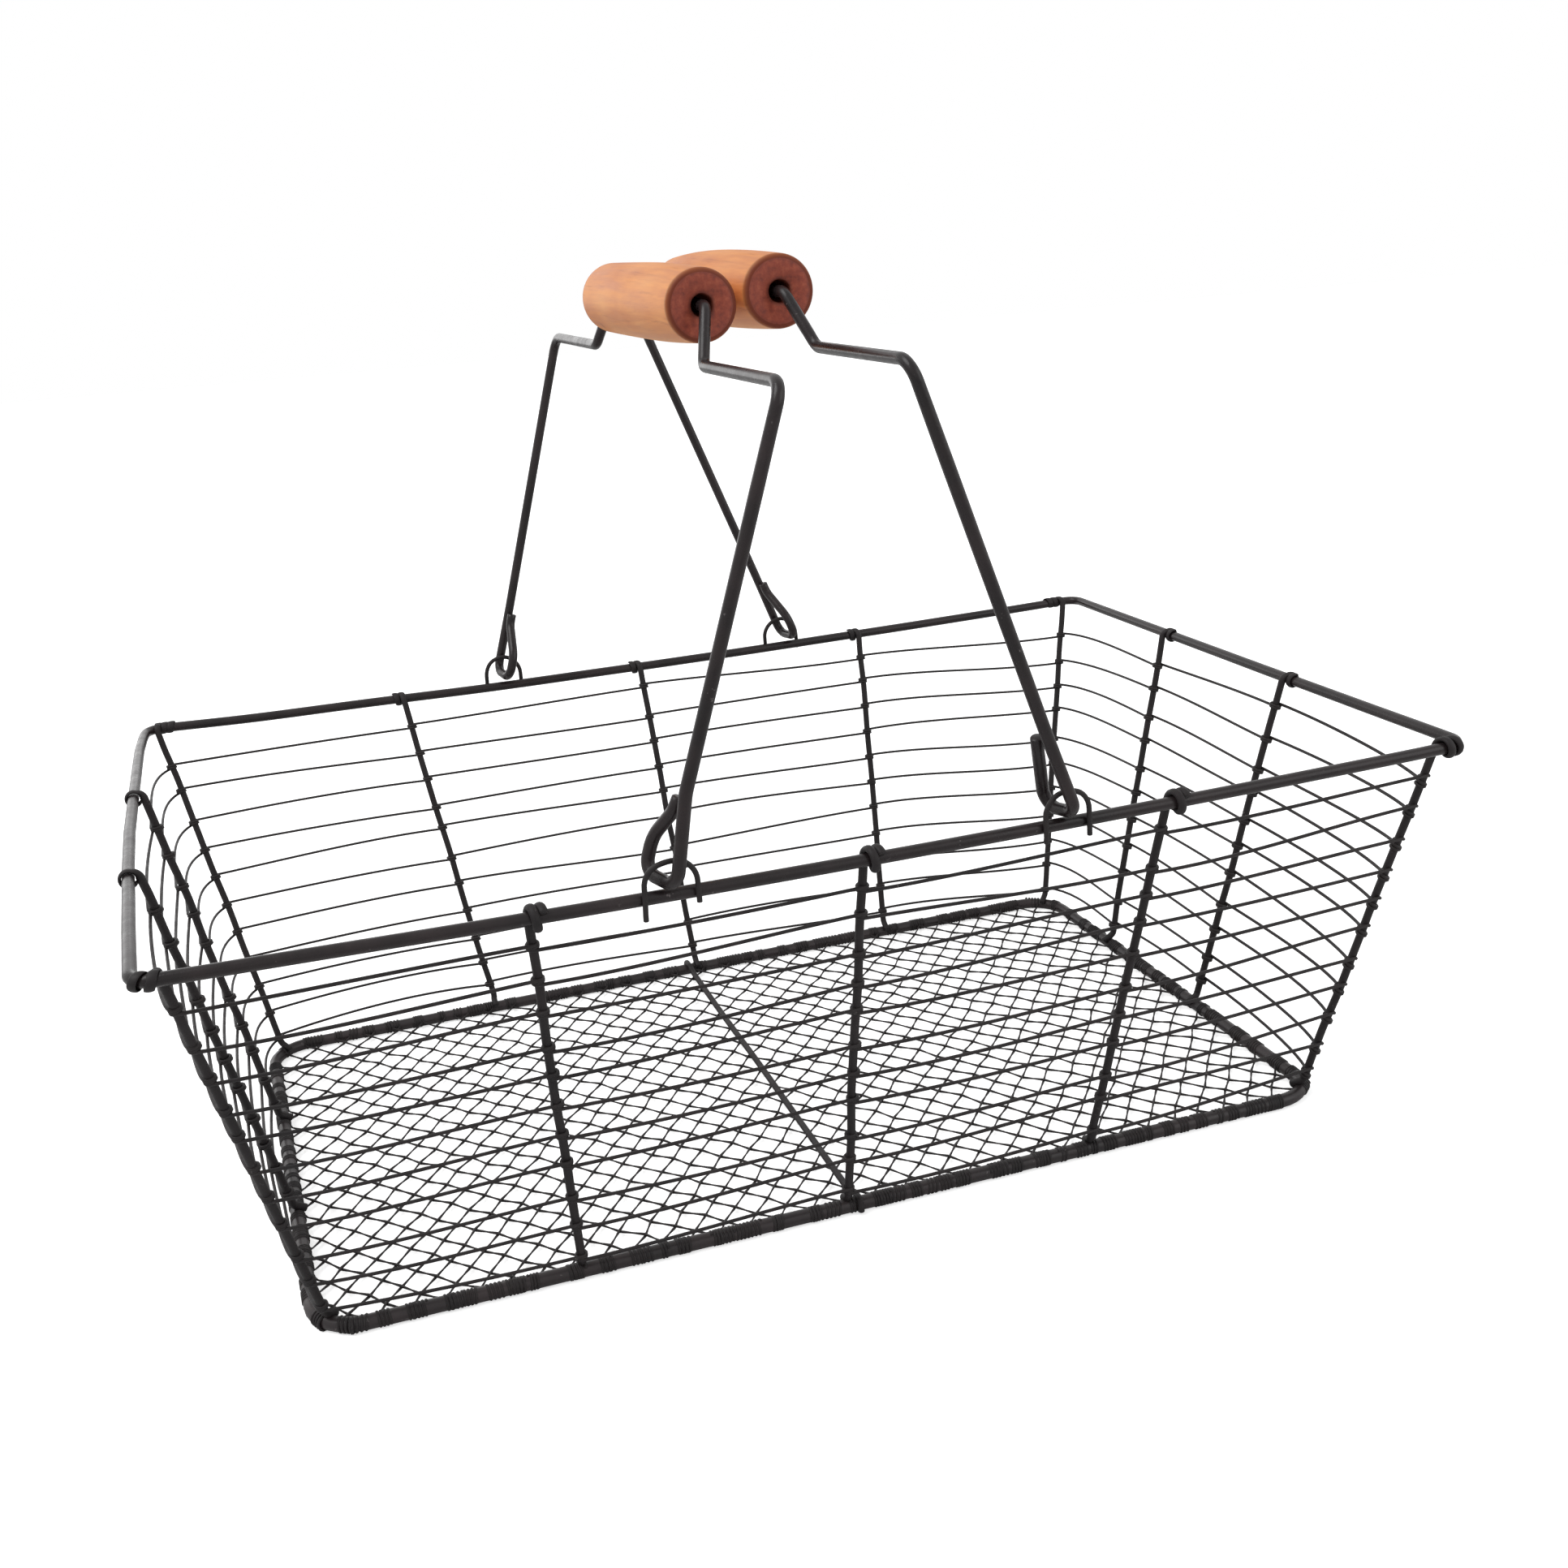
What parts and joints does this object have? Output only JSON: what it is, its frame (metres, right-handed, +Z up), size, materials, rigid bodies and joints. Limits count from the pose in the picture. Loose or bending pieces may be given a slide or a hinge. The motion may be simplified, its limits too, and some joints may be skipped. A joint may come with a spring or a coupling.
{
  "type": "wire harvest basket",
  "caption": "Rectangular tapered basket of painted wire with a net floor, carried by folding wire bails that lean together over it, each with a turned wooden grip.",
  "frame": {"origin": "centre of the footprint, on the surface that the basket stands on", "axes": "+Z is up, +X runs along the long sides, +Y points to the back wall, so the front wall faces -Y"},
  "size_m": [0.409, 0.2794, 0.2931],
  "materials": {
    "frame_wire": "satin dark brown-black paint",
    "thin_wire": "satin dark brown-black paint on thin wire",
    "grip_wood": "waxed tan wood with red-brown end faces"
  },
  "bodies": {
    "basket": {"rim_frame": "frame_wire", "base_frame": "frame_wire", "front_rib_left": "frame_wire", "front_rib_middle": "frame_wire", "front_rib_right": "frame_wire", "back_rib_left": "frame_wire", "back_rib_middle": "frame_wire", "back_rib_right": "frame_wire", "left_rib_front": "frame_wire", "left_rib_back": "frame_wire", "right_rib_front": "frame_wire", "right_rib_back": "frame_wire", "corner_rib_front_left": "frame_wire", "corner_rib_front_right": "frame_wire", "corner_rib_back_left": "frame_wire", "corner_rib_back_right": "frame_wire", "side_wire_01": "thin_wire", "side_wire_02": "thin_wire", "side_wire_03": "thin_wire", "side_wire_04": "thin_wire", "side_wire_05": "thin_wire", "side_wire_06": "thin_wire", "side_wire_07": "thin_wire", "side_wire_08": "thin_wire", "side_wire_09": "thin_wire", "side_wire_10": "thin_wire", "side_wire_11": "thin_wire", "floor_net": "thin_wire", "floor_cross_wire": "frame_wire", "bail_staple_front_left": "thin_wire", "bail_staple_front_right": "thin_wire", "bail_staple_back_left": "thin_wire", "bail_staple_back_right": "thin_wire"},
    "left_bail": {"left_bail_wire": "frame_wire"},
    "right_bail": {"right_bail_wire": "frame_wire"},
    "left_grip": {"left_grip": "grip_wood"},
    "right_grip": {"right_grip": "grip_wood"}
  },
  "joints": [
    {"name": "left_bail_hinge", "type": "hinge", "parent": "basket", "child": "left_bail", "pos_m": [-0.0603, 0, 0.13294], "axis": [-0.0185, -0.9998, 0], "range_deg": [0, 102.9]},
    {"name": "right_bail_hinge", "type": "hinge", "parent": "basket", "child": "right_bail", "pos_m": [0.0615, 0, 0.13295], "axis": [0.0208, 0.9998, 0], "range_deg": [0, 108]},
    {"name": "left_grip_spin", "type": "hinge", "parent": "left_bail", "child": "left_grip", "pos_m": [-0.01605, 0, 0.27888], "axis": [0, 1, 0], "continuous": true},
    {"name": "right_grip_spin", "type": "hinge", "parent": "right_bail", "child": "right_grip", "pos_m": [0.00815, 0, 0.28114], "axis": [0, 1, 0], "continuous": true}
  ]
}
